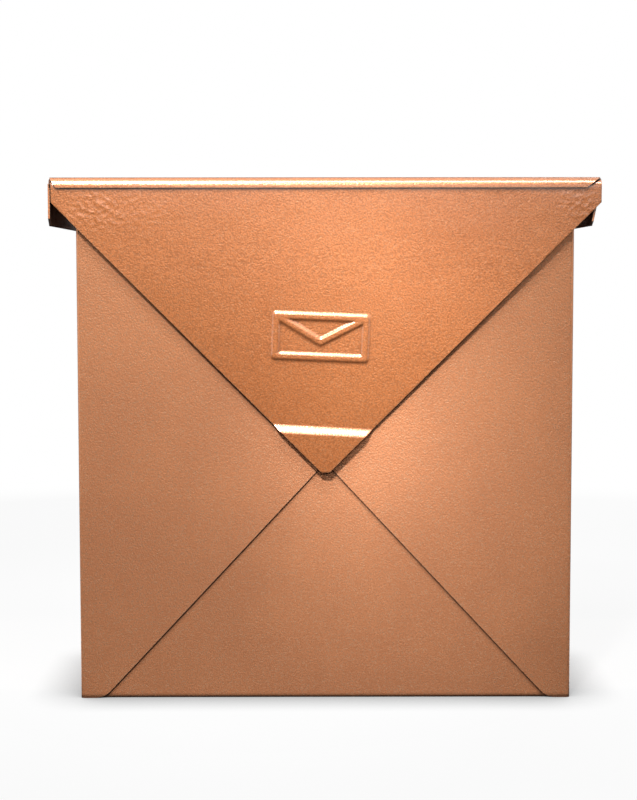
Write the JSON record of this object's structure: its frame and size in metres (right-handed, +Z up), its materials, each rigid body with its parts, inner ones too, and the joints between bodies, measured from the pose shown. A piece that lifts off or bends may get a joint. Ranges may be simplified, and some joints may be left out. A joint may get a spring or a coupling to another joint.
{
  "type": "wall mounted mailbox",
  "caption": "Wall mailbox of folded sheet steel shaped like an envelope, with a hood lid whose pointed front flap lifts on a rolled hinge at the wall.",
  "frame": {"origin": "centre of the four wall screw holes, on the wall plane at the back of the back panel", "axes": "+X to the right as seen from the front, +Y from the front towards the wall, +Z up"},
  "size_m": [0.3, 0.114, 0.287],
  "materials": {
    "body_coat": "semi-gloss copper powder coat with fine metallic speckle",
    "lid_coat": "semi-gloss copper powder coat with orange-peel texture",
    "rod_steel": "zinc plated, satin"
  },
  "bodies": {
    "box": {"back_panel": "body_coat", "left_side_panel": "body_coat", "right_side_panel": "body_coat", "floor_panel": "body_coat", "hinge_rod": "rod_steel", "rod_caps": "rod_steel"},
    "lid": {"lid_hood": "lid_coat", "envelope_flap": "lid_coat"}
  },
  "joints": [
    {"name": "lid_hinge", "type": "hinge", "parent": "box", "child": "lid", "pos_m": [0, -0.0031, 0.1404], "axis": [-1, 0, 0], "range_deg": [0, 90]}
  ]
}
